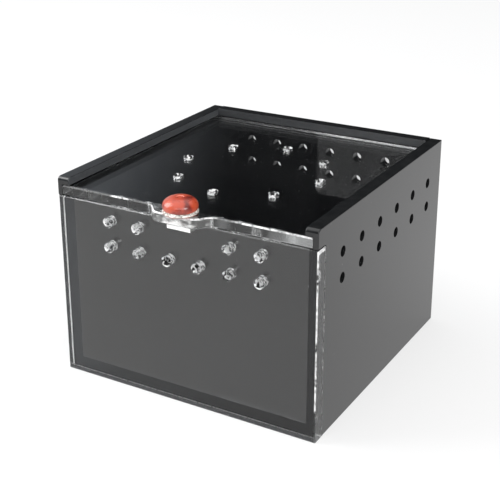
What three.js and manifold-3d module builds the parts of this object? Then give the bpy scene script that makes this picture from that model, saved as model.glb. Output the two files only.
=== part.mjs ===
// Small acrylic insect box: black bonded panels, a clear front panel, a clear lid that slides
// forward in grooves milled in the side panels, and a lift-out locking pin with a red bead.
// Millimetres. X is the width, Y the depth (front at -Y), Z up. Origin: centre of the footprint.
import * as THREE from 'three';
import { mergeVertices } from 'three/addons/utils/BufferGeometryUtils.js';
import Module from 'manifold-3d';

const wasm = await Module();
wasm.setup();

// Box
const WIDTH = 100;
const DEPTH = 103.5;
const HEIGHT = 74.25;
const SIDE_T = 4.625;
const BACK_T = 4.625;
const BASE_T = 4.625;
const FRONT_T = 5;
const BACK_PROUD = 0.25;
const EAR_RADIUS = 1.5;

// Lid and its grooves
const LID_T = 3.375;
const LID_Z = 68;
const GROOVE_DEPTH = 2.75;
const GROOVE_PLAY = 0.25;
const LID_SIDE_PLAY = 0.15;
const LID_END_PLAY = 0.25;
const TAB_X = 0.75;
const TAB_REACH = 5.1;
const TAB_ROOT_HALF = 13.25;
const TAB_NOSE_HALF = 6.25;
const TAB_EASE = 3;

// Vent holes
const HOLE_D = 3.6;
const ROW_TOP_Z = 61;
const ROW_PITCH = 9.125;
const HOLES_PER_ROW = 6;
const CROSS_PITCH = 11.75;
const SIDE_PITCH = 14.6;
const LID_RING_HOLES = 8;
const LID_RING_RADIUS = 27;
const LID_RING_FROM_FRONT = 47.5;

// Locking pin: rod, clear flange and bead, standing in the tab over the keeper
const PIN_X = 1.75;
const PIN_OUT = 2;
const ROD_D = 2;
const ROD_PLAY = 0.3;
const FLANGE_D = 12.1;
const FLANGE_T = 0.75;
const FLANGE_GAP = 0.3;
const BEAD_D = 11.7;
const BEAD_BASE_D = 9.8;
const BEAD_EQUATOR = 1.6;
const BEAD_H = 4.5;
const BEAD_BORE_PLAY = 0.1;
const BEAD_TOP_LAND_D = 3.4;
const KEEPER_W = 9;
const KEEPER_OUT = 3.4;
const KEEPER_H = 1.6;
const KEEPER_PLAY = 0.2;

// Fineness of round forms
const HOLE_SIDES = 32;
const RING_SIDES = 56;
const ARC_STEPS = 9;
const CUT = 1;

// Derived places
const INNER_X = WIDTH / 2 - SIDE_T;
const FRONT_Y = -DEPTH / 2;
const BACK_Y = DEPTH / 2;
const CAVITY_FRONT_Y = FRONT_Y + FRONT_T;
const CAVITY_BACK_Y = BACK_Y - BACK_T;
const GROOVE_FLOOR = LID_Z - GROOVE_PLAY;
const GROOVE_TOP = LID_Z + LID_T + GROOVE_PLAY;
const FRONT_TOP = GROOVE_FLOOR - GROOVE_PLAY;
const LID_TOP = LID_Z + LID_T;
const PIN_Y = FRONT_Y - PIN_OUT;

const BLACK = { color: 0x17181a, roughness: 0.18, metalness: 0 };
const CLEAR = { color: 0xdfe6e8, roughness: 0.08, metalness: 0, transparent: true, opacity: 0.35 };
const RED = { color: 0xb8372a, roughness: 0.25, metalness: 0 };

// A three.js geometry as a manifold solid, and a solid back as a flat-shaded geometry.
function toSolid(geometry) {
  const bare = geometry.clone();
  bare.deleteAttribute('normal');
  bare.deleteAttribute('uv');
  const merged = mergeVertices(bare);
  return new wasm.Manifold(new wasm.Mesh({
    numProp: 3,
    vertProperties: new Float32Array(merged.attributes.position.array),
    triVerts: new Uint32Array(merged.index.array),
  }));
}

function toGeometry(solid) {
  const mesh = solid.getMesh();
  const geometry = new THREE.BufferGeometry();
  geometry.setAttribute('position', new THREE.BufferAttribute(mesh.vertProperties, 3));
  geometry.setIndex(new THREE.BufferAttribute(mesh.triVerts, 1));
  geometry.computeVertexNormals();
  return geometry;
}

// A box between two corners.
function block(low, high) {
  const size = high.map((value, i) => value - low[i]);
  const middle = high.map((value, i) => (value + low[i]) / 2);
  return new THREE.BoxGeometry(...size).translate(...middle);
}

// A cutting cylinder for a hole through a panel, along 'x', 'y' or 'z'.
function drill(centre, diameter, length, axis) {
  const tool = new THREE.CylinderGeometry(diameter / 2, diameter / 2, length, HOLE_SIDES);
  if (axis === 'x') tool.rotateZ(Math.PI / 2);
  if (axis === 'z') tool.rotateX(Math.PI / 2);
  return toSolid(tool.translate(...centre));
}

function cutAll(geometry, tools) {
  const solid = tools.reduce((rest, tool) => rest.subtract(tool), toSolid(geometry));
  return toGeometry(solid);
}

function node(name, geometry, look) {
  const mesh = new THREE.Mesh(geometry, new THREE.MeshStandardMaterial(look));
  mesh.name = name;
  return mesh;
}

// The two rows of vent holes that every wall has: places along the wall, with their heights.
function ventGrid(centre, pitch) {
  const grid = [];
  for (let row = 0; row < 2; row += 1) {
    for (let i = 0; i < HOLES_PER_ROW; i += 1) {
      const along = centre + pitch * (i - (HOLES_PER_ROW - 1) / 2);
      grid.push({ along, z: ROW_TOP_Z - row * ROW_PITCH, row });
    }
  }
  return grid;
}

function basePlate() {
  return block([-INNER_X, CAVITY_FRONT_Y, 0], [INNER_X, CAVITY_BACK_Y, BASE_T]);
}

function backPanel() {
  const plate = block([-INNER_X, CAVITY_BACK_Y, 0], [INNER_X, BACK_Y, HEIGHT + BACK_PROUD]);
  const tools = ventGrid(0, CROSS_PITCH).map(({ along, z }) =>
    drill([along, BACK_Y - BACK_T / 2, z], HOLE_D, BACK_T + 2 * CUT, 'y'));
  return cutAll(plate, tools);
}

// A side panel: a plate with an ear that reaches over the front panel, drilled, and milled on
// its inner face with the groove that the lid runs in. side is -1 for left and 1 for right.
function sidePanel(side) {
  const outline = new THREE.Shape();
  outline.moveTo(CAVITY_FRONT_Y, 0);
  outline.lineTo(BACK_Y, 0);
  outline.lineTo(BACK_Y, HEIGHT);
  outline.lineTo(FRONT_Y + EAR_RADIUS, HEIGHT);
  outline.absarc(FRONT_Y + EAR_RADIUS, HEIGHT - EAR_RADIUS, EAR_RADIUS, Math.PI / 2, Math.PI, false);
  outline.lineTo(FRONT_Y, GROOVE_FLOOR);
  outline.lineTo(CAVITY_FRONT_Y, GROOVE_FLOOR);
  const plate = new THREE.ExtrudeGeometry(outline, {
    depth: SIDE_T, bevelEnabled: false, curveSegments: ARC_STEPS,
  });
  plate.rotateY(Math.PI / 2).rotateX(Math.PI / 2);
  const inner = side > 0 ? INNER_X : -WIDTH / 2;
  plate.translate(inner, 0, 0);

  const grooveX = [INNER_X - CUT, INNER_X + GROOVE_DEPTH].map((x) => x * side).sort((a, b) => a - b);
  const groove = block(
    [grooveX[0], FRONT_Y - CUT, GROOVE_FLOOR],
    [grooveX[1], CAVITY_BACK_Y, GROOVE_TOP],
  );
  const middle = (CAVITY_FRONT_Y + BACK_Y) / 2;
  const holes = ventGrid(middle, SIDE_PITCH).map(({ along, z }) =>
    drill([side * (WIDTH / 2 - SIDE_T / 2), along, z], HOLE_D, SIDE_T + 2 * CUT, 'x'));
  return cutAll(plate, [toSolid(groove), ...holes]);
}

// The clear front panel. Its upper row leaves out the holes that the keeper covers.
function frontPanel() {
  const plate = block([-WIDTH / 2, FRONT_Y, 0], [WIDTH / 2, CAVITY_FRONT_Y, FRONT_TOP]);
  const open = ventGrid(0, CROSS_PITCH).filter(({ along, row }) =>
    row > 0 || Math.abs(along) > CROSS_PITCH);
  const tools = open.map(({ along, z }) =>
    drill([along, FRONT_Y + FRONT_T / 2, z], HOLE_D, FRONT_T + 2 * CUT, 'y'));
  return cutAll(plate, tools);
}

function keeperBlock() {
  const top = FRONT_TOP - KEEPER_PLAY;
  const bar = block(
    [PIN_X - KEEPER_W / 2, FRONT_Y - KEEPER_OUT, top - KEEPER_H],
    [PIN_X + KEEPER_W / 2, FRONT_Y, top],
  );
  return cutAll(bar, [drill([PIN_X, PIN_Y, top], ROD_D + ROD_PLAY, KEEPER_H * 3, 'z')]);
}

// The lid: a sheet with a soft-shouldered pull tab, a ring of vent holes and the pin's hole.
function slidingLid() {
  const half = INNER_X + GROOVE_DEPTH - LID_SIDE_PLAY;
  const nose = FRONT_Y - TAB_REACH;
  const outline = new THREE.Shape();
  outline.moveTo(half, FRONT_Y);
  outline.lineTo(half, CAVITY_BACK_Y - LID_END_PLAY);
  outline.lineTo(-half, CAVITY_BACK_Y - LID_END_PLAY);
  outline.lineTo(-half, FRONT_Y);
  outline.lineTo(TAB_X - TAB_ROOT_HALF, FRONT_Y);
  outline.bezierCurveTo(
    TAB_X - TAB_ROOT_HALF + TAB_EASE, FRONT_Y,
    TAB_X - TAB_NOSE_HALF - TAB_EASE, nose,
    TAB_X - TAB_NOSE_HALF, nose,
  );
  outline.lineTo(TAB_X + TAB_NOSE_HALF, nose);
  outline.bezierCurveTo(
    TAB_X + TAB_NOSE_HALF + TAB_EASE, nose,
    TAB_X + TAB_ROOT_HALF - TAB_EASE, FRONT_Y,
    TAB_X + TAB_ROOT_HALF, FRONT_Y,
  );
  const sheet = new THREE.ExtrudeGeometry(outline, {
    depth: LID_T, bevelEnabled: false, curveSegments: ARC_STEPS,
  }).translate(0, 0, LID_Z);

  const tools = [drill([PIN_X, PIN_Y, LID_Z], ROD_D + ROD_PLAY, LID_T * 4, 'z')];
  for (let i = 0; i < LID_RING_HOLES; i += 1) {
    const turn = (i / LID_RING_HOLES) * 2 * Math.PI;
    const x = LID_RING_RADIUS * Math.cos(turn);
    const y = FRONT_Y + LID_RING_FROM_FRONT + LID_RING_RADIUS * Math.sin(turn);
    tools.push(drill([x, y, LID_Z], HOLE_D, LID_T * 4, 'z'));
  }
  return cutAll(sheet, tools);
}

// Turns a closed profile of [radius, height] points about the pin's axis.
function turned(profile, bottom) {
  const points = [...profile, profile[0]].map(([r, z]) => new THREE.Vector2(r, z));
  const geometry = new THREE.LatheGeometry(points, RING_SIDES);
  geometry.rotateX(Math.PI / 2).translate(PIN_X, PIN_Y, bottom);
  return toGeometry(toSolid(geometry));
}

function lockFlange() {
  const bore = ROD_D / 2 + BEAD_BORE_PLAY;
  const rim = FLANGE_D / 2;
  return turned([[bore, 0], [rim, 0], [rim, FLANGE_T], [bore, FLANGE_T]], LID_TOP + FLANGE_GAP);
}

// The bead: a flat base, a quarter ellipse out to its widest ring and another up to the top land.
function lockBead() {
  const bore = ROD_D / 2 + BEAD_BORE_PLAY;
  const wide = BEAD_D / 2;
  const foot = BEAD_BASE_D / 2;
  const land = BEAD_TOP_LAND_D / 2;
  const profile = [[bore, 0]];
  for (let i = 0; i <= ARC_STEPS; i += 1) {
    const a = (i / ARC_STEPS) * (Math.PI / 2);
    profile.push([foot + (wide - foot) * Math.sin(a), BEAD_EQUATOR * (1 - Math.cos(a))]);
  }
  for (let i = 1; i <= ARC_STEPS; i += 1) {
    const a = (i / ARC_STEPS) * (Math.PI / 2);
    const z = BEAD_EQUATOR + (BEAD_H - BEAD_EQUATOR) * Math.sin(a);
    profile.push([land + (wide - land) * Math.cos(a), z]);
  }
  profile.push([bore, BEAD_H]);
  return turned(profile, LID_TOP + FLANGE_GAP + FLANGE_T);
}

// The rod stands in the tab's hole and runs up through the flange and the bead.
function lockRod() {
  const bottom = LID_Z;
  const top = LID_TOP + FLANGE_GAP + FLANGE_T + BEAD_H - ROD_PLAY;
  const rod = new THREE.CylinderGeometry(ROD_D / 2, ROD_D / 2, top - bottom, HOLE_SIDES);
  return toGeometry(toSolid(rod.rotateX(Math.PI / 2).translate(PIN_X, PIN_Y, (top + bottom) / 2)));
}

const box = new THREE.Group();
box.add(node('base_plate', basePlate(), BLACK));
box.add(node('back_panel', backPanel(), BLACK));
box.add(node('left_side_panel', sidePanel(-1), BLACK));
box.add(node('right_side_panel', sidePanel(1), BLACK));
box.add(node('front_panel', frontPanel(), CLEAR));
box.add(node('keeper_block', keeperBlock(), CLEAR));

const lid = new THREE.Group();
lid.add(node('sliding_lid', slidingLid(), CLEAR));

const pin = new THREE.Group();
pin.add(node('lock_flange', lockFlange(), CLEAR));
pin.add(node('lock_bead', lockBead(), RED));
pin.add(node('lock_rod', lockRod(), CLEAR));
lid.add(pin);

const part = new THREE.Group();
part.add(box, lid);

export default part;
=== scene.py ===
"""Acrylic insect box: fine meshes, materials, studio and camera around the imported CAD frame."""
import math

import bmesh
import bpy
from mathutils import Matrix, Vector, noise
from mathutils.geometry import tessellate_polygon


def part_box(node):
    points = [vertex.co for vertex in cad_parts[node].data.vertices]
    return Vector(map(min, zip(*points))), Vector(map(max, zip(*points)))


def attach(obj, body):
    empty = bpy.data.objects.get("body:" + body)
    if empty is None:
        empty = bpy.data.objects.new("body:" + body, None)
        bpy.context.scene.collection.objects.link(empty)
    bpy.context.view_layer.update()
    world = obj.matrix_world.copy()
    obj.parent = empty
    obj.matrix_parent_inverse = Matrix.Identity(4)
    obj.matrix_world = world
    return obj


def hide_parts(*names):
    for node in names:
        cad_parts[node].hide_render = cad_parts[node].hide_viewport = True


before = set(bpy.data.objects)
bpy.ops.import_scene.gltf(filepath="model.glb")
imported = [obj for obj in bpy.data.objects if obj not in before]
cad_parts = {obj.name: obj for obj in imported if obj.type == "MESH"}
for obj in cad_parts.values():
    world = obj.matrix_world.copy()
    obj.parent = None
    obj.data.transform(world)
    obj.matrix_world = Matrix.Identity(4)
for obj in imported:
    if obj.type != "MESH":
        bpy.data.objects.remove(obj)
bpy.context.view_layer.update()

MM = 0.001

# ---------------------------------------------------------------- sizes shared with the CAD
HOLE_R = 1.8 * MM
ROW_TOP_Z = 61.0 * MM
ROW_PITCH = 9.125 * MM
HOLES_PER_ROW = 6
CROSS_PITCH = 11.75 * MM
SIDE_PITCH = 14.6 * MM
LID_RING_HOLES = 8
LID_RING_R = 27.0 * MM
LID_RING_FROM_FRONT = 47.5 * MM
EAR_R = 1.5 * MM
GROOVE_DEPTH = 2.75 * MM
GROOVE_PLAY = 0.25 * MM
TAB_X = 0.75 * MM
TAB_ROOT_HALF = 13.25 * MM
TAB_NOSE_HALF = 6.25 * MM
TAB_EASE = 3.0 * MM
PIN_X = 1.75 * MM
PIN_OUT = 2.0 * MM
BORE_R = 1.15 * MM

# ---------------------------------------------------------------- finish of edges and faces
BLACK_ROUND = 0.25 * MM
JOINT_ROUND = 0.03 * MM
CLEAR_CHAMFER = 0.4 * MM
REAR_CHAMFER = 0.3 * MM
LID_TOP_CHAMFER = 0.45 * MM
LID_LOW_CHAMFER = 0.15 * MM
HOLE_CHAMFER = 0.06 * MM
BONDED_GAP = 0.02 * MM
GLUE_SIZE = 0.08 * MM
SEAM_R = 0.22 * MM
CHIPPED_END = 1.4 * MM
BEAD_FOOT = 0.84
BEAD_BELLY = 0.36
SAME_POINT = 1e-7
GENTLE_TURN = math.radians(32)
NARROW_STRIP = 0.12
HALF_WIDTH = 50.0 * MM
ACRYLIC_IOR = 1.49
HOLE_STEPS = 72
CURVE_STEPS = 16
TURN_STEPS = 96

# ---------------------------------------------------------------- material slots of a sheet
FACE, CUT, CHAMFER, HOLE, EXTRA, FOOT = range(6)

front_low, front_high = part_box("front_panel")
back_low, back_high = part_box("back_panel")
left_low, left_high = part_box("left_side_panel")
right_low, right_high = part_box("right_side_panel")
base_low, base_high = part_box("base_plate")
lid_low, lid_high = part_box("sliding_lid")
keeper_low, keeper_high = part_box("keeper_block")
flange_low, flange_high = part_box("lock_flange")
bead_low, bead_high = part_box("lock_bead")
rod_low, rod_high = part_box("lock_rod")
FRONT_Y = front_low.y
PIN_Y = FRONT_Y - PIN_OUT
GROOVE_FLOOR = lid_low.z - GROOVE_PLAY
GROOVE_TOP = lid_high.z + GROOVE_PLAY


# ---------------------------------------------------------------- outlines
def rectangle(u0, v0, u1, v1):
    return [(u0, v0), (u1, v0), (u1, v1), (u0, v1)]


def circle(centre, radius, steps=HOLE_STEPS):
    turns = [2 * math.pi * i / steps for i in range(steps)]
    return [(centre[0] + radius * math.cos(t), centre[1] + radius * math.sin(t)) for t in turns]


def bezier(p0, p1, p2, p3, steps=CURVE_STEPS):
    """Points of a cubic curve after its first one."""
    points = []
    for i in range(1, steps + 1):
        t = i / steps
        a, b, c, d = (1 - t) ** 3, 3 * t * (1 - t) ** 2, 3 * t * t * (1 - t), t ** 3
        points.append(tuple(a * p0[k] + b * p1[k] + c * p2[k] + d * p3[k] for k in (0, 1)))
    return points


def inset(outline, distance):
    """An anticlockwise outline moved inwards by distance, corners mitred."""
    moved = []
    count = len(outline)
    for i in range(count):
        before, here, after = (Vector(outline[j % count]) for j in (i - 1, i, i + 1))
        first, second = (here - before).normalized(), (after - here).normalized()
        n1, n2 = Vector((-first.y, first.x)), Vector((-second.y, second.x))
        moved.append(tuple(here + (n1 + n2) * (distance / (1 + n1.dot(n2)))))
    return moved


def vent_grid(centre, pitch):
    """(along, height, row) of the two rows of holes in a wall."""
    middle = (HOLES_PER_ROW - 1) / 2
    return [(centre + pitch * (i - middle), ROW_TOP_Z - row * ROW_PITCH, row)
            for row in (0, 1) for i in range(HOLES_PER_ROW)]


# ---------------------------------------------------------------- meshes
def to_object(name, bm, materials):
    """Ends a bmesh: one skin, faces out, flat sheet faces, smooth walls with sharp rims."""
    bmesh.ops.remove_doubles(bm, verts=bm.verts, dist=SAME_POINT)
    bmesh.ops.recalc_face_normals(bm, faces=bm.faces)
    for face in bm.faces:
        face.smooth = len(face.verts) == 4
    for edge in bm.edges:
        if len(edge.link_faces) == 2:
            small, large = sorted(edge.link_faces, key=lambda face: face.calc_area())
            gentle = edge.calc_face_angle() < GENTLE_TURN
            uneven = small.calc_area() < NARROW_STRIP * large.calc_area()
            edge.smooth = gentle and not uneven
            if gentle and uneven:
                large.smooth = False
    mesh = bpy.data.meshes.new(name)
    bm.to_mesh(mesh)
    bm.free()
    piece = bpy.data.objects.new(name, mesh)
    bpy.context.scene.collection.objects.link(piece)
    for material in materials:
        mesh.materials.append(material)
    return piece


def rounded_levels(depth, far, near=None, steps=3):
    """(inset, height) up a wall whose two rims are rounded off, near being the lower one."""
    arc = [math.pi / 2 * i / steps for i in range(steps + 1)]

    def rim(radius):
        return [(radius * (1 - math.sin(a)), radius * (1 - math.cos(a))) for a in arc]
    top = [(r, depth - h) for r, h in reversed(rim(far))]
    return rim(far if near is None else near) + top


def chamfered_levels(depth, low, high):
    """(inset, height) up a wall whose two rims are chamfered."""
    return [(low, 0), (0, low), (0, depth - high), (high, depth)]


def bore_levels(depth):
    return chamfered_levels(depth, HOLE_CHAMFER, HOLE_CHAMFER)


def plate(name, outline, holes, depth, place, materials, levels, hole_levels, bonded=None):
    """A sheet with shaped rims. place turns (u, v, depth) into a point.

    Its materials are in the order FACE, CUT, CHAMFER, HOLE, EXTRA. bonded is a rectangle on the
    sheet's far face: outside it the face takes EXTRA.
    """
    bm = bmesh.new()

    def loop(points, height):
        return [bm.verts.new(place(u, v, height)) for u, v in points]

    def wall(rings, steep, sloped):
        for low, high in zip(rings, rings[1:]):
            count = len(low[1])
            slot = steep if abs(low[0] - high[0]) < 1e-9 else sloped
            for i in range(count):
                j = (i + 1) % count
                face = bm.faces.new((low[1][i], low[1][j], high[1][j], high[1][i]))
                face.material_index = slot

    outer = [(r, loop(inset(outline, r), h)) for r, h in levels]
    wall(outer, CUT, CHAMFER)
    bores = []
    for centre, radius in holes:
        rings = [(r, loop(circle(centre, radius + r), h)) for r, h in hole_levels]
        wall(rings, HOLE, HOLE)
        bores.append(rings)

    def cap(loops, slot):
        verts = [v for ring in loops for v in ring]
        flat = [[unplace(place, v.co) for v in ring] for ring in loops]
        for tri in tessellate_polygon(flat):
            face = bm.faces.new([verts[i] for i in tri])
            face.material_index = slot

    for end in (0, -1):
        rim = outer[end][1]
        rings = [bore[end][1] for bore in bores]
        if bonded and end == -1:
            inner = loop(bonded, depth)
            cap([rim, inner], EXTRA)
            cap([inner, *rings], FACE)
        else:
            cap([rim, *rings], FACE)
    return to_object(name, bm, materials)


def unplace(place, point):
    """The flat (u, v, 0) of a point that place made, for filling faces."""
    origin = Vector(place(0, 0, 0))
    u_axis = Vector(place(1, 0, 0)) - origin
    v_axis = Vector(place(0, 1, 0)) - origin
    rest = Vector(point) - origin
    return Vector((rest.dot(u_axis), rest.dot(v_axis), 0))


def turned(name, profile, bottom, materials, wobble=None, steps=TURN_STEPS):
    """A closed profile of (radius, height) turned about the pin's axis."""
    bm = bmesh.new()
    rings = []
    for k in range(steps):
        turn = 2 * math.pi * k / steps
        ring = []
        for r, h in profile:
            radius, height = wobble(r, h, turn) if wobble else (r, h)
            x = PIN_X + radius * math.cos(turn)
            y = PIN_Y + radius * math.sin(turn)
            ring.append(bm.verts.new((x, y, bottom + height)))
        rings.append(ring)
    count = len(profile)
    for k in range(steps):
        here, after = rings[k], rings[(k + 1) % steps]
        for i in range(count):
            j = (i + 1) % count
            bm.faces.new((here[i], after[i], after[j], here[j]))
    return to_object(name, bm, materials)


def cut_box(piece, low, high):
    """Mills the box between two corners out of a piece."""
    bm = bmesh.new()
    size = Vector(high) - Vector(low)
    middle = (Vector(high) + Vector(low)) / 2
    bmesh.ops.create_cube(bm, size=1, matrix=Matrix.LocRotScale(middle, None, size))
    for face in bm.faces:
        face.material_index = CUT
    cutter = to_object("cutter", bm, list(piece.data.materials))
    step = piece.modifiers.new("mill", "BOOLEAN")
    step.operation = "DIFFERENCE"
    step.solver = "EXACT"
    step.object = cutter
    bpy.context.view_layer.update()
    shaped = piece.evaluated_get(bpy.context.evaluated_depsgraph_get())
    mesh = bpy.data.meshes.new_from_object(shaped)
    piece.modifiers.clear()
    piece.data = mesh
    bpy.data.objects.remove(cutter)
    return piece


# ---------------------------------------------------------------- materials
def new_material(name):
    material = bpy.data.materials.new(name)
    material.use_nodes = True
    tree = material.node_tree
    tree.nodes.clear()
    output = tree.nodes.new("ShaderNodeOutputMaterial")
    output.name = "Material Output"
    shader = tree.nodes.new("ShaderNodeBsdfPrincipled")
    tree.links.new(shader.outputs["BSDF"], output.inputs["Surface"])
    return material, tree, shader


def place_coords(tree, stretch=(1, 1, 1), shift=(0, 0, 0)):
    """Object coordinates in metres, stretched along each axis and then shifted."""
    coords = tree.nodes.new("ShaderNodeTexCoord")
    mapping = tree.nodes.new("ShaderNodeMapping")
    mapping.inputs["Scale"].default_value = stretch
    mapping.inputs["Location"].default_value = shift
    tree.links.new(coords.outputs["Object"], mapping.inputs["Vector"])
    return mapping.outputs["Vector"]


def axis_value(tree, axis):
    """One object coordinate in metres."""
    split = tree.nodes.new("ShaderNodeSeparateXYZ")
    tree.links.new(place_coords(tree), split.inputs["Vector"])
    return split.outputs[axis]


def noise_value(tree, vector, scale, detail=3.0, roughness=0.5, distortion=0.0):
    node = tree.nodes.new("ShaderNodeTexNoise")
    node.inputs["Scale"].default_value = scale
    node.inputs["Detail"].default_value = detail
    node.inputs["Roughness"].default_value = roughness
    node.inputs["Distortion"].default_value = distortion
    tree.links.new(vector, node.inputs["Vector"])
    return node.outputs["Fac"]


def map_range(tree, value, from_low, from_high, to_low, to_high):
    node = tree.nodes.new("ShaderNodeMapRange")
    for key, number in zip(("From Min", "From Max", "To Min", "To Max"),
                           (from_low, from_high, to_low, to_high)):
        node.inputs[key].default_value = number
    tree.links.new(value, node.inputs["Value"])
    return node.outputs["Result"]


def multiply_add(tree, value, factor, addend):
    node = tree.nodes.new("ShaderNodeMath")
    node.operation = "MULTIPLY_ADD"
    tree.links.new(value, node.inputs[0])
    node.inputs[1].default_value = factor
    tree.links.new(addend, node.inputs[2])
    return node.outputs[0]


def smooth_range(tree, value, from_low, from_high, to_low, to_high):
    result = map_range(tree, value, from_low, from_high, to_low, to_high)
    result.node.interpolation_type = "SMOOTHSTEP"
    return result


def vector_value(tree, operation, vector, other):
    node = tree.nodes.new("ShaderNodeVectorMath")
    node.operation = operation
    tree.links.new(vector, node.inputs[0])
    node.inputs[1].default_value = other
    return node.outputs["Value"]


def colour_ramp(tree, value, stops):
    node = tree.nodes.new("ShaderNodeValToRGB")
    ramp = node.color_ramp
    while len(ramp.elements) < len(stops):
        ramp.elements.new(0.5)
    for element, (position, colour) in zip(ramp.elements, stops):
        element.position = position
        element.color = (*colour, 1)
    tree.links.new(value, node.inputs["Fac"])
    return node.outputs["Color"]


def add_bump(tree, shader, height, strength, distance):
    bump = tree.nodes.new("ShaderNodeBump")
    bump.inputs["Strength"].default_value = strength
    bump.inputs["Distance"].default_value = distance
    tree.links.new(height, bump.inputs["Height"])
    tree.links.new(bump.outputs["Normal"], shader.inputs["Normal"])


def black_face():
    """Cast black sheet: near mirror gloss, faint handling haze and a few dust specks."""
    material, tree, shader = new_material("black_acrylic_face")
    coords = place_coords(tree)
    specks = noise_value(tree, coords, 1300, detail=2)
    colour = colour_ramp(tree, specks, [(0.0, (0.007, 0.007, 0.0075)), (0.71, (0.010, 0.010, 0.0105)),
                                        (0.76, (0.12, 0.12, 0.12))])
    tree.links.new(colour, shader.inputs["Base Color"])
    haze = noise_value(tree, coords, 35, detail=5, roughness=0.6)
    tree.links.new(map_range(tree, haze, 0.3, 0.75, 0.015, 0.05), shader.inputs["Roughness"])
    add_bump(tree, shader, noise_value(tree, coords, 50, detail=1), 0.03, 0.0002)
    shader.inputs["IOR"].default_value = ACRYLIC_IOR
    return material


def black_edge():
    """Cut and scraped edge of the black sheet: a shade duller, with fine marks along the cut."""
    material, tree, shader = new_material("black_acrylic_edge")
    marks = noise_value(tree, place_coords(tree, (260, 260, 900)), 1.0, detail=4)
    colour = colour_ramp(tree, marks, [(0.3, (0.007, 0.0075, 0.008)), (0.75, (0.013, 0.0135, 0.014))])
    tree.links.new(colour, shader.inputs["Base Color"])
    tree.links.new(map_range(tree, marks, 0.3, 0.7, 0.07, 0.17), shader.inputs["Roughness"])
    add_bump(tree, shader, marks, 0.12, 0.00003)
    shader.inputs["IOR"].default_value = ACRYLIC_IOR
    return material


def routed_black(name, grey):
    """Inner strip beside the lid groove, left satin by the cutter. grey sets its tone: the lighter side
    copy and the darker back copy are painted light and shade.
    """
    material, tree, shader = new_material(name)
    marks = noise_value(tree, place_coords(tree, (400, 400, 1500)), 1.0, detail=3)
    colour = colour_ramp(tree, marks, [(0.3, (0.8 * grey, 0.85 * grey, 0.9 * grey)),
                                       (0.75, (1.2 * grey, 1.26 * grey, 1.35 * grey))])
    tree.links.new(colour, shader.inputs["Base Color"])
    tree.links.new(map_range(tree, marks, 0.3, 0.7, 0.3, 0.45), shader.inputs["Roughness"])
    add_bump(tree, shader, marks, 0.2, 0.00003)
    return material


def bonded_black():
    """What shows through clear sheet where cement joins it to black: no reflection of its own.

    Its colour is lighter towards the box's left side: painted light from the window side.
    """
    material, tree, shader = new_material("bonded_black")
    # Painted light: the colour ramp lightens towards the box's left side.
    across = map_range(tree, axis_value(tree, "X"), -HALF_WIDTH, HALF_WIDTH, 0.0, 1.0)
    streaks = noise_value(tree, place_coords(tree), 300, detail=4)
    mixed = multiply_add(tree, streaks, 0.25, across)
    colour = colour_ramp(tree, mixed, [(0.08, (0.055, 0.058, 0.064)), (0.35, (0.022, 0.024, 0.026)),
                                       (0.9, (0.006, 0.006, 0.007))])
    tree.links.new(colour, shader.inputs["Base Color"])
    tree.links.new(map_range(tree, streaks, 0, 1, 0.8, 1.0), shader.inputs["Roughness"])
    shader.inputs["Specular IOR Level"].default_value = 0.0
    return material


def clear_face():
    """Polished clear sheet with a very faint grey tint and wipe haze."""
    material, tree, shader = new_material("clear_acrylic_face")
    haze = noise_value(tree, place_coords(tree), 60, detail=4)
    colour = colour_ramp(tree, haze, [(0.2, (0.985, 0.99, 0.99)), (0.8, (0.965, 0.975, 0.975))])
    tree.links.new(colour, shader.inputs["Base Color"])
    tree.links.new(map_range(tree, haze, 0.45, 0.85, 0.0, 0.02), shader.inputs["Roughness"])
    shader.inputs["Transmission Weight"].default_value = 1.0
    shader.inputs["IOR"].default_value = ACRYLIC_IOR
    return material


def clear_cut(name, at_left, at_right):
    """Sawn edge of the clear sheet: drag lines along the cut, hazy in soft patches. Its colour is darker
    towards the left and lighter towards +X: painted shade and light.
    """
    material, tree, shader = new_material(name)
    lines = noise_value(tree, place_coords(tree, (1800, 1800, 90)), 1.0, detail=3)
    patches = noise_value(tree, place_coords(tree, (55, 55, 20)), 1.0, detail=2)
    x = axis_value(tree, "X")
    leaning = multiply_add(tree, patches, 1.0,
                           map_range(tree, x, -HALF_WIDTH, HALF_WIDTH, at_left, at_right))
    # Painted light: the cut's colour grows lighter from left to right, with the drag lines laid over it.
    lines_and_painted_light = multiply_add(tree, lines, 0.25,
                          map_range(tree, x, -HALF_WIDTH, HALF_WIDTH, 0.0, 0.75))
    colour = colour_ramp(tree, lines_and_painted_light, [(0.1, (0.50, 0.52, 0.52)), (0.8, (0.88, 0.90, 0.90))])
    tree.links.new(colour, shader.inputs["Base Color"])
    tree.links.new(map_range(tree, lines, 0.3, 0.75, 0.05, 0.32), shader.inputs["Roughness"])
    tree.links.new(map_range(tree, leaning, 0.4, 0.68, 0.98, 0.62), shader.inputs["Transmission Weight"])
    add_bump(tree, shader, lines, 0.35, 0.00004)
    shader.inputs["IOR"].default_value = ACRYLIC_IOR
    return material


def drilled_bore(name, start, frost):
    """Wall of a drilled hole in clear sheet: glossy, with frosted patches left by the drill."""
    material, tree, shader = new_material(name)
    coords = place_coords(tree)
    patches = noise_value(tree, coords, 650, detail=3, distortion=0.6)
    rings = noise_value(tree, coords, 2600, detail=2)
    colour = colour_ramp(tree, rings, [(0.35, (0.90, 0.91, 0.91)), (0.6, (1.0, 1.0, 1.0))])
    tree.links.new(colour, shader.inputs["Base Color"])
    tree.links.new(map_range(tree, rings, 0.3, 0.7, 0.02, 0.16), shader.inputs["Roughness"])
    clear = map_range(tree, patches, start, start + 0.08, 0.98, 1.0 - frost)
    tree.links.new(clear, shader.inputs["Transmission Weight"])
    add_bump(tree, shader, rings, 0.25, 0.00005)
    shader.inputs["IOR"].default_value = ACRYLIC_IOR
    return material


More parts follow.
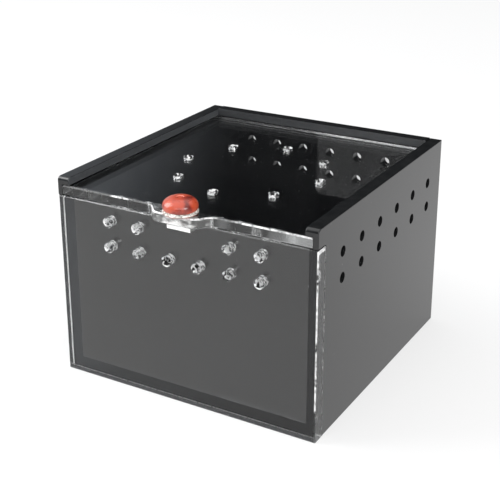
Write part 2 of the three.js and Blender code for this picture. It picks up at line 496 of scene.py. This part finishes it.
def chipped_rim(name, lean, bias, tone):
    """Scraped chamfer of clear sheet: chatter marks in patches, fading out near the table.

    A positive lean makes them denser towards +X, and tone is their brightness.
    """
    material, tree, shader = new_material(name)
    across = map_range(tree, axis_value(tree, "X"), -HALF_WIDTH, HALF_WIDTH, bias - lean, bias + lean)
    patches = noise_value(tree, place_coords(tree, (95, 95, 95)), 1.0, detail=3)
    hatch = noise_value(tree, place_coords(tree, (1500, 900, 900)), 1.0, detail=3)
    foot = map_range(tree, axis_value(tree, "Z"), 0.007, 0.013, -0.4, 0.0)
    leaning = multiply_add(tree, across, 1.0, multiply_add(tree, foot, 1.0, patches))
    mixed = multiply_add(tree, hatch, 0.6, leaning)
    colour = colour_ramp(tree, hatch, [(0.35, (tone * 0.6,) * 3), (0.62, (tone,) * 3)])
    tree.links.new(colour, shader.inputs["Base Color"])
    tree.links.new(map_range(tree, hatch, 0.3, 0.7, 0.2, 0.55), shader.inputs["Roughness"])
    tree.links.new(map_range(tree, mixed, 0.73, 0.88, 0.97, 0.04), shader.inputs["Transmission Weight"])
    add_bump(tree, shader, hatch, 0.6, 0.0001)
    shader.inputs["IOR"].default_value = ACRYLIC_IOR
    return material


def painted_shade_edge():
    """Lower chamfer of the front sheet, with painted shade where it stands on the table, and a few light
    chips.
    """
    material, tree, shader = new_material("painted_shade_foot")
    chips = noise_value(tree, place_coords(tree, (900, 900, 1400)), 1.0, detail=4, roughness=0.7)
    # Painted shade: mostly dark grey, standing for the table's shadow on the chamfer.
    colour = colour_ramp(tree, chips, [(0.45, (0.05, 0.055, 0.06)), (0.58, (0.11, 0.115, 0.12)),
                                       (0.70, (0.5, 0.5, 0.5))])
    tree.links.new(colour, shader.inputs["Base Color"])
    tree.links.new(map_range(tree, chips, 0.3, 0.7, 0.25, 0.5), shader.inputs["Roughness"])
    add_bump(tree, shader, chips, 0.3, 0.00005)
    return material


def scuffed_clear():
    """The lid's tab where it is handled and rubs on the keeper: soft white bloom and drag lines."""
    material, tree, shader = new_material("tab_scuff")
    bloom = noise_value(tree, place_coords(tree, (300, 300, 520)), 1.0, detail=3)
    pin = (PIN_X, PIN_Y - 2 * MM, lid_low.z)
    close = smooth_range(tree, vector_value(tree, "DISTANCE", place_coords(tree), pin),
                         0.003, 0.0085, 0.05, -0.12)
    cloudy = multiply_add(tree, bloom, 1.0, close)
    drag = noise_value(tree, place_coords(tree, (300, 300, 1100)), 1.0, detail=3)
    colour = colour_ramp(tree, drag, [(0.3, (0.90, 0.92, 0.90)), (0.6, (1.0, 1.0, 0.99))])
    tree.links.new(colour, shader.inputs["Base Color"])
    tree.links.new(map_range(tree, drag, 0.3, 0.7, 0.26, 0.32), shader.inputs["Roughness"])
    mixed = multiply_add(tree, drag, 0.2, cloudy)
    tree.links.new(map_range(tree, mixed, 0.50, 0.74, 0.96, 0.3), shader.inputs["Transmission Weight"])
    add_bump(tree, shader, drag, 0.08, 0.00004)
    shader.inputs["IOR"].default_value = ACRYLIC_IOR
    return material


def frosted_white():
    """Sanded face of the keeper, nearly opaque white."""
    material, tree, shader = new_material("keeper_sanded")
    grain = noise_value(tree, place_coords(tree, (2500, 2500, 400)), 1.0, detail=3)
    colour = colour_ramp(tree, grain, [(0.2, (0.97, 0.98, 0.96)), (0.7, (1.0, 1.0, 0.99))])
    tree.links.new(colour, shader.inputs["Base Color"])
    tree.links.new(map_range(tree, grain, 0.2, 0.8, 0.5, 0.8), shader.inputs["Roughness"])
    add_bump(tree, shader, grain, 0.3, 0.00005)
    return material


SWIRL_SHIFT = (0.027, 0.005, 0.0)


def red_stone():
    """Polished red bead with a darker swirl and a clear coat."""
    material, tree, shader = new_material("red_bead")
    coords = place_coords(tree)
    swirl = noise_value(tree, place_coords(tree, shift=SWIRL_SHIFT), 105, detail=2, roughness=0.35,
                        distortion=1.3)
    cloud = noise_value(tree, coords, 420, detail=4, roughness=0.6)
    mixed = multiply_add(tree, cloud, 0.18, swirl)
    colour = colour_ramp(tree, mixed, [
        (0.42, (0.14, 0.012, 0.007)), (0.49, (0.25, 0.026, 0.013)),
        (0.55, (0.42, 0.052, 0.022)), (0.80, (0.50, 0.088, 0.036))])
    tree.links.new(colour, shader.inputs["Base Color"])
    tree.links.new(map_range(tree, cloud, 0.3, 0.7, 0.24, 0.36), shader.inputs["Roughness"])
    add_bump(tree, shader, cloud, 0.08, 0.0002)
    shader.inputs["Coat Weight"].default_value = 0.4
    shader.inputs["Coat Roughness"].default_value = 0.22
    return material


def rim_highlight_red():
    """Rim of the bead's bore, paler than the polished stone: a painted highlight on its chamfer."""
    material, tree, shader = new_material("red_bead_rim")
    grain = noise_value(tree, place_coords(tree), 1500, detail=3)
    colour = colour_ramp(tree, grain, [(0.3, (0.62, 0.16, 0.11)), (0.7, (0.78, 0.27, 0.20))])
    tree.links.new(colour, shader.inputs["Base Color"])
    tree.links.new(map_range(tree, grain, 0.3, 0.7, 0.35, 0.55), shader.inputs["Roughness"])
    return material


def milky_cement():
    """Whitish cured adhesive squeezed out under the bead."""
    material, tree, shader = new_material("bead_cement")
    lumps = noise_value(tree, place_coords(tree), 1200, detail=3)
    colour = colour_ramp(tree, lumps, [(0.3, (0.62, 0.58, 0.52)), (0.65, (0.95, 0.94, 0.90))])
    tree.links.new(colour, shader.inputs["Base Color"])
    tree.links.new(map_range(tree, lumps, 0.3, 0.7, 0.12, 0.4), shader.inputs["Roughness"])
    tree.links.new(map_range(tree, lumps, 0.35, 0.6, 0.6, 0.1), shader.inputs["Transmission Weight"])
    add_bump(tree, shader, lumps, 0.5, 0.0001)
    shader.inputs["IOR"].default_value = 1.47
    return material


BLACK = black_face()
BLACK_CUT = black_edge()
# One satin finish in two tones: the side strips' lighter and the back strip's darker grey are painted
# light and shade.
ROUTED = routed_black("black_acrylic_routed", 0.06)
ROUTED_BACK = routed_black("black_acrylic_routed_back", 0.03)
BONDED = bonded_black()
CLEAR = clear_face()
CLEAR_CUT = clear_cut("clear_acrylic_cut", -0.3, 0.05)
PANEL_CUT = clear_cut("clear_panel_cut", -0.2, -0.2)
BORE = drilled_bore("panel_bore", 0.46, 0.9)
LID_BORE = drilled_bore("lid_bore", 0.5, 0.85)
RIM = chipped_rim("clear_acrylic_rim", 0.09, -0.01, 0.85)
PANEL_RIM = chipped_rim("clear_panel_rim", 0.0, 0.025, 0.78)
STANDING = painted_shade_edge()
SANDED = frosted_white()
RED = red_stone()
PALE_RED = rim_highlight_red()
CEMENT = milky_cement()
SCUFFED = scuffed_clear()
BLACK_SET = [BLACK, BLACK_CUT, BLACK_CUT, BLACK_CUT, ROUTED]
BACK_SET = [BLACK, BLACK_CUT, BLACK_CUT, BLACK_CUT, ROUTED_BACK]
LID_SET = [CLEAR, CLEAR_CUT, RIM, LID_BORE, SCUFFED]
PANEL_SET = [CLEAR, PANEL_CUT, PANEL_RIM, BORE, BONDED, STANDING]


# ---------------------------------------------------------------- the box
def keep(piece, body, slot, *nodes):
    """Rides on a body and stands for its CAD nodes. Its slot is not used."""
    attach(piece, body)
    if nodes:
        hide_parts(*nodes)
    return piece


def base_plate():
    depth = base_high.z - base_low.z
    outline = rectangle(base_low.x, base_low.y, base_high.x, base_high.y)
    return plate("base_sheet", outline, [], depth, lambda u, v, h: (u, v, base_low.z + h),
                 BLACK_SET, rounded_levels(depth, JOINT_ROUND), [])


def back_panel():
    depth = back_high.y - back_low.y
    outline = rectangle(back_low.x, back_low.z, back_high.x, back_high.z)
    holes = [((x, z), HOLE_R) for x, z, _ in vent_grid(0, CROSS_PITCH)]
    piece = plate("back_sheet", outline, holes, depth, lambda u, v, h: (u, back_low.y + h, v),
                  BACK_SET, rounded_levels(depth, BLACK_ROUND, JOINT_ROUND),
                  bore_levels(depth))
    return routed_strip(piece, Vector((0, -1, 0)))


def paint(piece, cuts, chosen, slot):
    """Cuts the skin along planes, then gives the faces that chosen(normal, middle) picks a slot."""
    bm = bmesh.new()
    bm.from_mesh(piece.data)
    for at, normal in cuts:
        geometry = bm.verts[:] + bm.edges[:] + bm.faces[:]
        bmesh.ops.bisect_plane(bm, geom=geometry, plane_co=at, plane_no=normal)
    for face in bm.faces:
        if chosen(face.normal, face.calc_center_median()):
            face.material_index = slot
    bm.to_mesh(piece.data)
    bm.free()
    return piece


def routed_strip(piece, inward):
    """Gives the inner face above the lid groove its satin finish."""
    return paint(piece, [((0, 0, GROOVE_TOP), (0, 0, 1))],
                 lambda normal, middle: normal.dot(inward) > 0.9 and middle.z > GROOVE_TOP, EXTRA)


def side_panel(name, low, high, side):
    """Side sheet with its ear, vent holes and the milled groove for the lid."""
    depth = high.x - low.x
    front_edge = front_high.y
    outline = [(front_edge, 0), (high.y, 0), (high.y, high.z)]
    centre = (low.y + EAR_R, high.z - EAR_R)
    for i in range(CURVE_STEPS + 1):
        turn = math.pi / 2 * (1 + i / CURVE_STEPS)
        outline.append((centre[0] + EAR_R * math.cos(turn), centre[1] + EAR_R * math.sin(turn)))
    outline += [(low.y, GROOVE_FLOOR), (front_edge, GROOVE_FLOOR)]
    middle = (front_edge + high.y) / 2
    holes = [((y, z), HOLE_R) for y, z, _ in vent_grid(middle, SIDE_PITCH)]
    piece = plate(name, outline, holes, depth, lambda u, v, h: (low.x + h, u, v), BLACK_SET,
                  rounded_levels(depth, BLACK_ROUND), bore_levels(depth))
    routed_strip(piece, Vector((-side, 0, 0)))
    inner = low.x if side > 0 else high.x
    deep = inner + side * GROOVE_DEPTH
    shallow = inner - side * MM
    return cut_box(piece, (min(deep, shallow), low.y - MM, GROOVE_FLOOR),
                   (max(deep, shallow), back_low.y, GROOVE_TOP))


def front_panel():
    """Clear sheet cemented to the black edges behind its border."""
    depth = front_high.y - front_low.y - BONDED_GAP
    outline = rectangle(front_low.x, front_low.z, front_high.x, front_high.z)
    holes = [((x, z), HOLE_R) for x, z, row in vent_grid(0, CROSS_PITCH)
             if row > 0 or abs(x) > CROSS_PITCH]
    bonded = rectangle(left_high.x, base_high.z, right_low.x, front_high.z - CLEAR_CHAMFER)
    piece = plate("front_sheet", outline, holes, depth, lambda u, v, h: (u, front_low.y + h, v),
                  PANEL_SET, chamfered_levels(depth, CLEAR_CHAMFER, REAR_CHAMFER),
                  bore_levels(depth), bonded=bonded)
    for face in piece.data.polygons:
        if face.material_index == HOLE:
            continue
        if face.material_index == CHAMFER and face.normal.z > 0.3:
            face.material_index = CUT
        # The bottom and its lower front chamfer take the dark standing edge: painted shade where the
        # sheet meets the table.
        elif face.normal.z < -0.9 or (face.normal.z < -0.3 and face.normal.y < 0):
            face.material_index = FOOT
    chipped_z = front_high.z - CHIPPED_END
    return paint(piece, [((0, 0, chipped_z), (0, 0, 1))],
                 lambda normal, middle: normal.x > 0.9 and middle.z > chipped_z, CHAMFER)


def glue_line():
    """Thin fillet of clear cement round the inside of the front joint."""
    x0, x1, z0, z1 = left_high.x, right_low.x, base_high.z, GROOVE_FLOOR - MM
    y = front_high.y
    size, bulge = GLUE_SIZE, 0.35 * GLUE_SIZE
    bm = bmesh.new()
    path = [(x0, z1, 1, 0), (x0, z0, 1, 1), (x1, z0, -1, 1), (x1, z1, -1, 0)]
    rings = []
    for x, z, inx, inz in path:
        ring = [(x, y, z), (x, y + size, z), (x + inx * bulge, y + bulge, z + inz * bulge),
                (x + inx * size, y, z + inz * size)]
        rings.append([bm.verts.new(p) for p in ring])
    for here, after in zip(rings, rings[1:]):
        for i in range(4):
            j = (i + 1) % 4
            bm.faces.new((here[i], here[j], after[j], after[i]))
    bm.faces.new(rings[0])
    bm.faces.new(rings[-1])
    for side in (-1, 1):
        ridge(bm, side * (front_high.x - 0.4 * SEAM_R), y - 0.4 * SEAM_R)
    return to_object("front_glue_line", bm, [PANEL_CUT, SANDED, SCUFFED])


def ridge(bm, x, y, steps=10):
    """An upright cord of cement squeezed out of the outer joint."""
    rings = []
    for z in (front_low.z + REAR_CHAMFER, front_high.z - REAR_CHAMFER):
        rings.append([bm.verts.new((px, py, z)) for px, py in circle((x, y), SEAM_R, steps)])
    for i in range(steps):
        j = (i + 1) % steps
        cord = bm.faces.new((rings[0][i], rings[0][j], rings[1][j], rings[1][i]))
        cord.material_index = 1 if x < 0 else 2
    for ring in rings:
        bm.faces.new(ring)


def keeper():
    depth = keeper_high.z - keeper_low.z
    outline = rectangle(keeper_low.x, keeper_low.y, keeper_high.x, keeper_high.y - BONDED_GAP)
    piece = plate("keeper_bar", outline, [((PIN_X, PIN_Y), BORE_R)], depth,
                  lambda u, v, h: (u, v, keeper_low.z + h), [SANDED, CLEAR, RIM, BORE],
                  chamfered_levels(depth, REAR_CHAMFER / 2, REAR_CHAMFER / 2),
                  bore_levels(depth))
    for face in piece.data.polygons:
        if face.normal.y < -0.9:
            face.material_index = FACE
    return piece


# ---------------------------------------------------------------- the lid
def lid_outline():
    nose = lid_low.y
    left, right = TAB_X - TAB_ROOT_HALF, TAB_X + TAB_ROOT_HALF
    outline = [(lid_high.x, FRONT_Y), (lid_high.x, lid_high.y), (lid_low.x, lid_high.y),
               (lid_low.x, FRONT_Y), (left, FRONT_Y)]
    outline += bezier((left, FRONT_Y), (left + TAB_EASE, FRONT_Y),
                      (TAB_X - TAB_NOSE_HALF - TAB_EASE, nose), (TAB_X - TAB_NOSE_HALF, nose))
    outline += [(TAB_X + TAB_NOSE_HALF, nose)]
    outline += bezier((TAB_X + TAB_NOSE_HALF, nose), (TAB_X + TAB_NOSE_HALF + TAB_EASE, nose),
                      (right - TAB_EASE, FRONT_Y), (right, FRONT_Y))
    return outline


def lid():
    depth = lid_high.z - lid_low.z
    holes = [((PIN_X, PIN_Y), BORE_R)]
    for i in range(LID_RING_HOLES):
        turn = 2 * math.pi * i / LID_RING_HOLES
        holes.append(((LID_RING_R * math.cos(turn),
                       FRONT_Y + LID_RING_FROM_FRONT + LID_RING_R * math.sin(turn)), HOLE_R))
    piece = plate("lid_sheet", lid_outline(), holes, depth, lambda u, v, h: (u, v, lid_low.z + h),
                  LID_SET, chamfered_levels(depth, LID_LOW_CHAMFER, LID_TOP_CHAMFER),
                  bore_levels(depth))
    return scuff_tab(piece)


def scuff_tab(piece):
    """Scuffs the tab's nose, and its underside where it rubs on the keeper."""
    left, right = keeper_low.x - MM, keeper_high.x + MM
    cuts = [((left, 0, 0), (1, 0, 0)), ((right, 0, 0), (1, 0, 0)), ((0, FRONT_Y, 0), (0, 1, 0))]

    def rubbed(normal, middle):
        under = normal.z < -0.9 and left < middle.x < right and middle.y < FRONT_Y
        return under or (abs(normal.z) < 0.1 and middle.y < FRONT_Y - 0.4 * MM and normal.y < -0.1
                         and (middle.xy - Vector((PIN_X, PIN_Y))).length > 1.2 * BORE_R)
    return paint(piece, cuts, rubbed, EXTRA)


# ---------------------------------------------------------------- the locking pin
def flange():
    outer = (flange_high.x - flange_low.x) / 2
    depth = flange_high.z - flange_low.z
    soft = depth * 0.3
    profile = [(BORE_R, 0), (outer - soft, 0), (outer - soft * 0.3, soft * 0.3), (outer, soft),
               (outer, depth - soft), (outer - soft * 0.3, depth - soft * 0.3),
               (outer - soft, depth), (BORE_R, depth)]

    def wobble(r, h, turn):
        ripple = noise.noise(Vector((math.cos(turn), math.sin(turn), h / depth)) * 3.0)
        return (r + (0.18 * MM * ripple if r > outer / 2 else 0) - (0.1 * MM if r > outer / 2 else 0), h)
    piece = turned("pin_flange", profile, flange_low.z, [CEMENT, RED], wobble)
    # The flange's lower rim takes the bead's red: painted reflection of the bead and painted shade in
    # the gap below.
    for face in piece.data.polygons:
        if face.center.z < flange_low.z + 0.9 * soft:
            face.material_index = 1
    return piece


def bead_profile():
    """Flat foot, round belly, domed top and the drilled bore, as closed (radius, height) points."""
    wide = (bead_high.x - bead_low.x) / 2
    tall = bead_high.z - bead_low.z
    belly = BEAD_BELLY * tall
    foot = BEAD_FOOT * wide
    land = 1.7 * MM
    steps = 20
    points = [(BORE_R, 0.0)]
    for i in range(steps + 1):
        a = math.pi / 2 * i / steps
        points.append((foot + (wide - foot) * math.sin(a), belly * (1 - math.cos(a))))
    for i in range(1, steps + 1):
        a = math.pi / 2 * i / steps
        points.append((land + (wide - land) * math.cos(a), belly + (tall - belly) * math.sin(a)))
    return points + [(BORE_R + 0.15 * MM, tall), (BORE_R, tall - 0.2 * MM)]


def bead():
    piece = turned("pin_bead", bead_profile(), bead_low.z, [RED, PALE_RED])
    axis = Vector((PIN_X, PIN_Y))
    for face in piece.data.polygons:
        ring = (face.center.xy - axis).length
        # The bore's top rim takes the paler red: painted highlight.
        if BORE_R < ring < BORE_R + 0.2 * MM and face.center.z > bead_high.z - 0.29 * MM:
            face.material_index = 1
    return piece


def cement_ring():
    """Uneven roll of adhesive where the bead meets its flange."""
    foot = BEAD_FOOT * (bead_high.x - bead_low.x) / 2
    thick = 0.42 * MM
    profile = [(foot + thick * math.cos(2 * math.pi * i / 10) + 0.15 * MM,
                thick * 0.8 * math.sin(2 * math.pi * i / 10)) for i in range(10)]
    middle = foot + 0.15 * MM

    def wobble(r, h, turn):
        swell = 1 + 0.55 * noise.noise(Vector((math.cos(turn), math.sin(turn), 0.3)) * 4.5)
        return middle + (r - middle) * swell, h * swell
    return turned("pin_cement", profile, bead_low.z + 0.25 * MM, [CEMENT], wobble)


def rod():
    radius = (rod_high.x - rod_low.x) / 2
    tall = rod_high.z - rod_low.z
    soft = 0.15 * MM
    core = 0.05 * MM
    profile = [(core, 0), (radius - soft, 0), (radius, soft), (radius, tall - soft),
               (radius - soft, tall), (core, tall)]
    piece = turned("pin_rod", profile, rod_low.z, [CLEAR, RED], steps=48)
    for face in piece.data.polygons:
        if face.center.z > rod_high.z - 2 * soft:
            face.material_index = 1
    return piece


def build_object():
    keep(base_plate(), "box", "black_acrylic", "base_plate")
    keep(back_panel(), "box", "black_acrylic", "back_panel")
    keep(side_panel("left_sheet", left_low, left_high, -1), "box", "black_acrylic", "left_side_panel")
    keep(side_panel("right_sheet", right_low, right_high, 1), "box", "black_acrylic",
         "right_side_panel")
    keep(front_panel(), "box", "clear_acrylic", "front_panel")
    keep(glue_line(), "box", "clear_acrylic")
    keep(keeper(), "box", "clear_acrylic", "keeper_block")
    keep(lid(), "lid", "clear_acrylic", "sliding_lid")
    keep(flange(), "lock_pin", "clear_acrylic", "lock_flange")
    keep(bead(), "lock_pin", "red_bead", "lock_bead")
    keep(cement_ring(), "lock_pin", "clear_acrylic")
    keep(rod(), "lock_pin", "clear_acrylic", "lock_rod")


# ---------------------------------------------------------------- studio
FLOOR_HALF = 4.0
FLOOR_GLOW = 0.6
FLOOR_COLOUR = (0.3, 0.3, 0.3)
FLOOR_GAP = 0.05 * MM
SKY_HIGH = 1.6


def floor():
    """Plain pale paper, the same for every ray: softly lit, with an even glow of its own."""
    bm = bmesh.new()
    bm.faces.new([bm.verts.new((x, y, -FLOOR_GAP)) for x, y in
                  rectangle(-FLOOR_HALF, -FLOOR_HALF, FLOOR_HALF, FLOOR_HALF)])
    material, _, shader = new_material("paper_floor")
    shader.inputs["Base Color"].default_value = (*FLOOR_COLOUR, 1)
    shader.inputs["Roughness"].default_value = 0.9
    shader.inputs["Specular IOR Level"].default_value = 0.0
    shader.inputs["Emission Color"].default_value = (1, 1, 1, 1)
    shader.inputs["Emission Strength"].default_value = FLOOR_GLOW
    to_object("floor", bm, [material])


def choose_by_ray(tree, lighting, seen, output):
    """Shows the camera a pale backdrop, while the object is lit and mirrored by another sky."""
    path = tree.nodes.new("ShaderNodeLightPath")
    choose = tree.nodes.new("ShaderNodeMixShader")
    tree.links.new(path.outputs["Is Camera Ray"], choose.inputs["Fac"])
    tree.links.new(lighting, choose.inputs[1])
    tree.links.new(seen, choose.inputs[2])
    tree.links.new(choose.outputs["Shader"], output.inputs["Surface"])


def sky():
    """A dim room, lighter towards the window side, under a bright ceiling."""
    world = bpy.data.worlds.new("studio")
    world.use_nodes = True
    tree = world.node_tree
    tree.nodes.clear()
    output = tree.nodes.new("ShaderNodeOutputWorld")
    coords = tree.nodes.new("ShaderNodeTexCoord").outputs["Generated"]
    split = tree.nodes.new("ShaderNodeSeparateXYZ")
    tree.links.new(coords, split.inputs["Vector"])
    height = smooth_range(tree, split.outputs["Z"], 0.5, 0.9, 0.0, 1.0)
    side = smooth_range(tree, split.outputs["X"], -0.47, -0.74, 0.015, 0.62)
    low = tree.nodes.new("ShaderNodeCombineColor")
    for key, tint in (("Red", 0.92), ("Green", 0.98), ("Blue", 1.06)):
        scaled = tree.nodes.new("ShaderNodeMath")
        scaled.operation = "MULTIPLY"
        tree.links.new(side, scaled.inputs[0])
        scaled.inputs[1].default_value = tint
        tree.links.new(scaled.outputs[0], low.inputs[key])
    mix = tree.nodes.new("ShaderNodeMix")
    mix.data_type = "RGBA"
    tree.links.new(height, mix.inputs["Factor"])
    tree.links.new(low.outputs["Color"], mix.inputs[6])
    mix.inputs[7].default_value = (SKY_HIGH, SKY_HIGH, SKY_HIGH, 1)
    room = tree.nodes.new("ShaderNodeBackground")
    tree.links.new(mix.outputs[2], room.inputs["Color"])
    pale = tree.nodes.new("ShaderNodeBackground")
    pale.inputs["Color"].default_value = (0.93, 0.93, 0.93, 1)
    choose_by_ray(tree, room.outputs[0], pale.outputs[0], output)
    bpy.context.scene.world = world


def softbox(name, at, aim, size, power):
    data = bpy.data.lights.new(name, "AREA")
    data.shape = "RECTANGLE"
    data.size, data.size_y = size
    data.energy = power
    lamp = bpy.data.objects.new(name, data)
    lamp.location = at
    lamp.rotation_euler = (Vector(aim) - Vector(at)).to_track_quat("-Z", "Y").to_euler()
    bpy.context.scene.collection.objects.link(lamp)
    return lamp


# ---------------------------------------------------------------- camera
CAMERA_AT = (183.5 * MM, -327.0 * MM, 199.0 * MM)
CAMERA_YAW = 31.13
CAMERA_PITCH = 20.1
CAMERA_ROLL = -0.56
CAMERA_LENS = 79.13
CAMERA_SHIFT = (0.05, -0.12)


def camera():
    data = bpy.data.cameras.new("camera")
    data.lens = CAMERA_LENS
    data.shift_x, data.shift_y = CAMERA_SHIFT
    data.clip_start, data.clip_end = 0.01, 20
    yaw, pitch, roll = (math.radians(a) for a in (CAMERA_YAW, CAMERA_PITCH, CAMERA_ROLL))
    forward = Vector((-math.sin(yaw) * math.cos(pitch), math.cos(yaw) * math.cos(pitch),
                      -math.sin(pitch)))
    right = Vector((math.cos(yaw), math.sin(yaw), 0))
    up = right.cross(forward)
    right_rolled = right * math.cos(roll) + up * math.sin(roll)
    up_rolled = up * math.cos(roll) - right * math.sin(roll)
    turn = Matrix((right_rolled, up_rolled, -forward)).transposed()
    view = bpy.data.objects.new("camera", data)
    view.matrix_world = Matrix.LocRotScale(Vector(CAMERA_AT), turn.to_quaternion(), None)
    bpy.context.scene.collection.objects.link(view)
    bpy.context.scene.camera = view


camera()
build_object()
floor()
sky()
softbox("window", (-0.9, -0.35, 0.62), (0, 0, 0.03), (0.75, 0.9), 12)
softbox("fill", (0.86, -0.42, 0.46), (0, -0.03, 0.05), (0.34, 0.34), 5)
softbox("low_front", (0.35, -0.92, 0.5), (0, -0.05, 0.06), (1.4, 0.5), 6)
bpy.context.scene.view_settings.view_transform = "Standard"
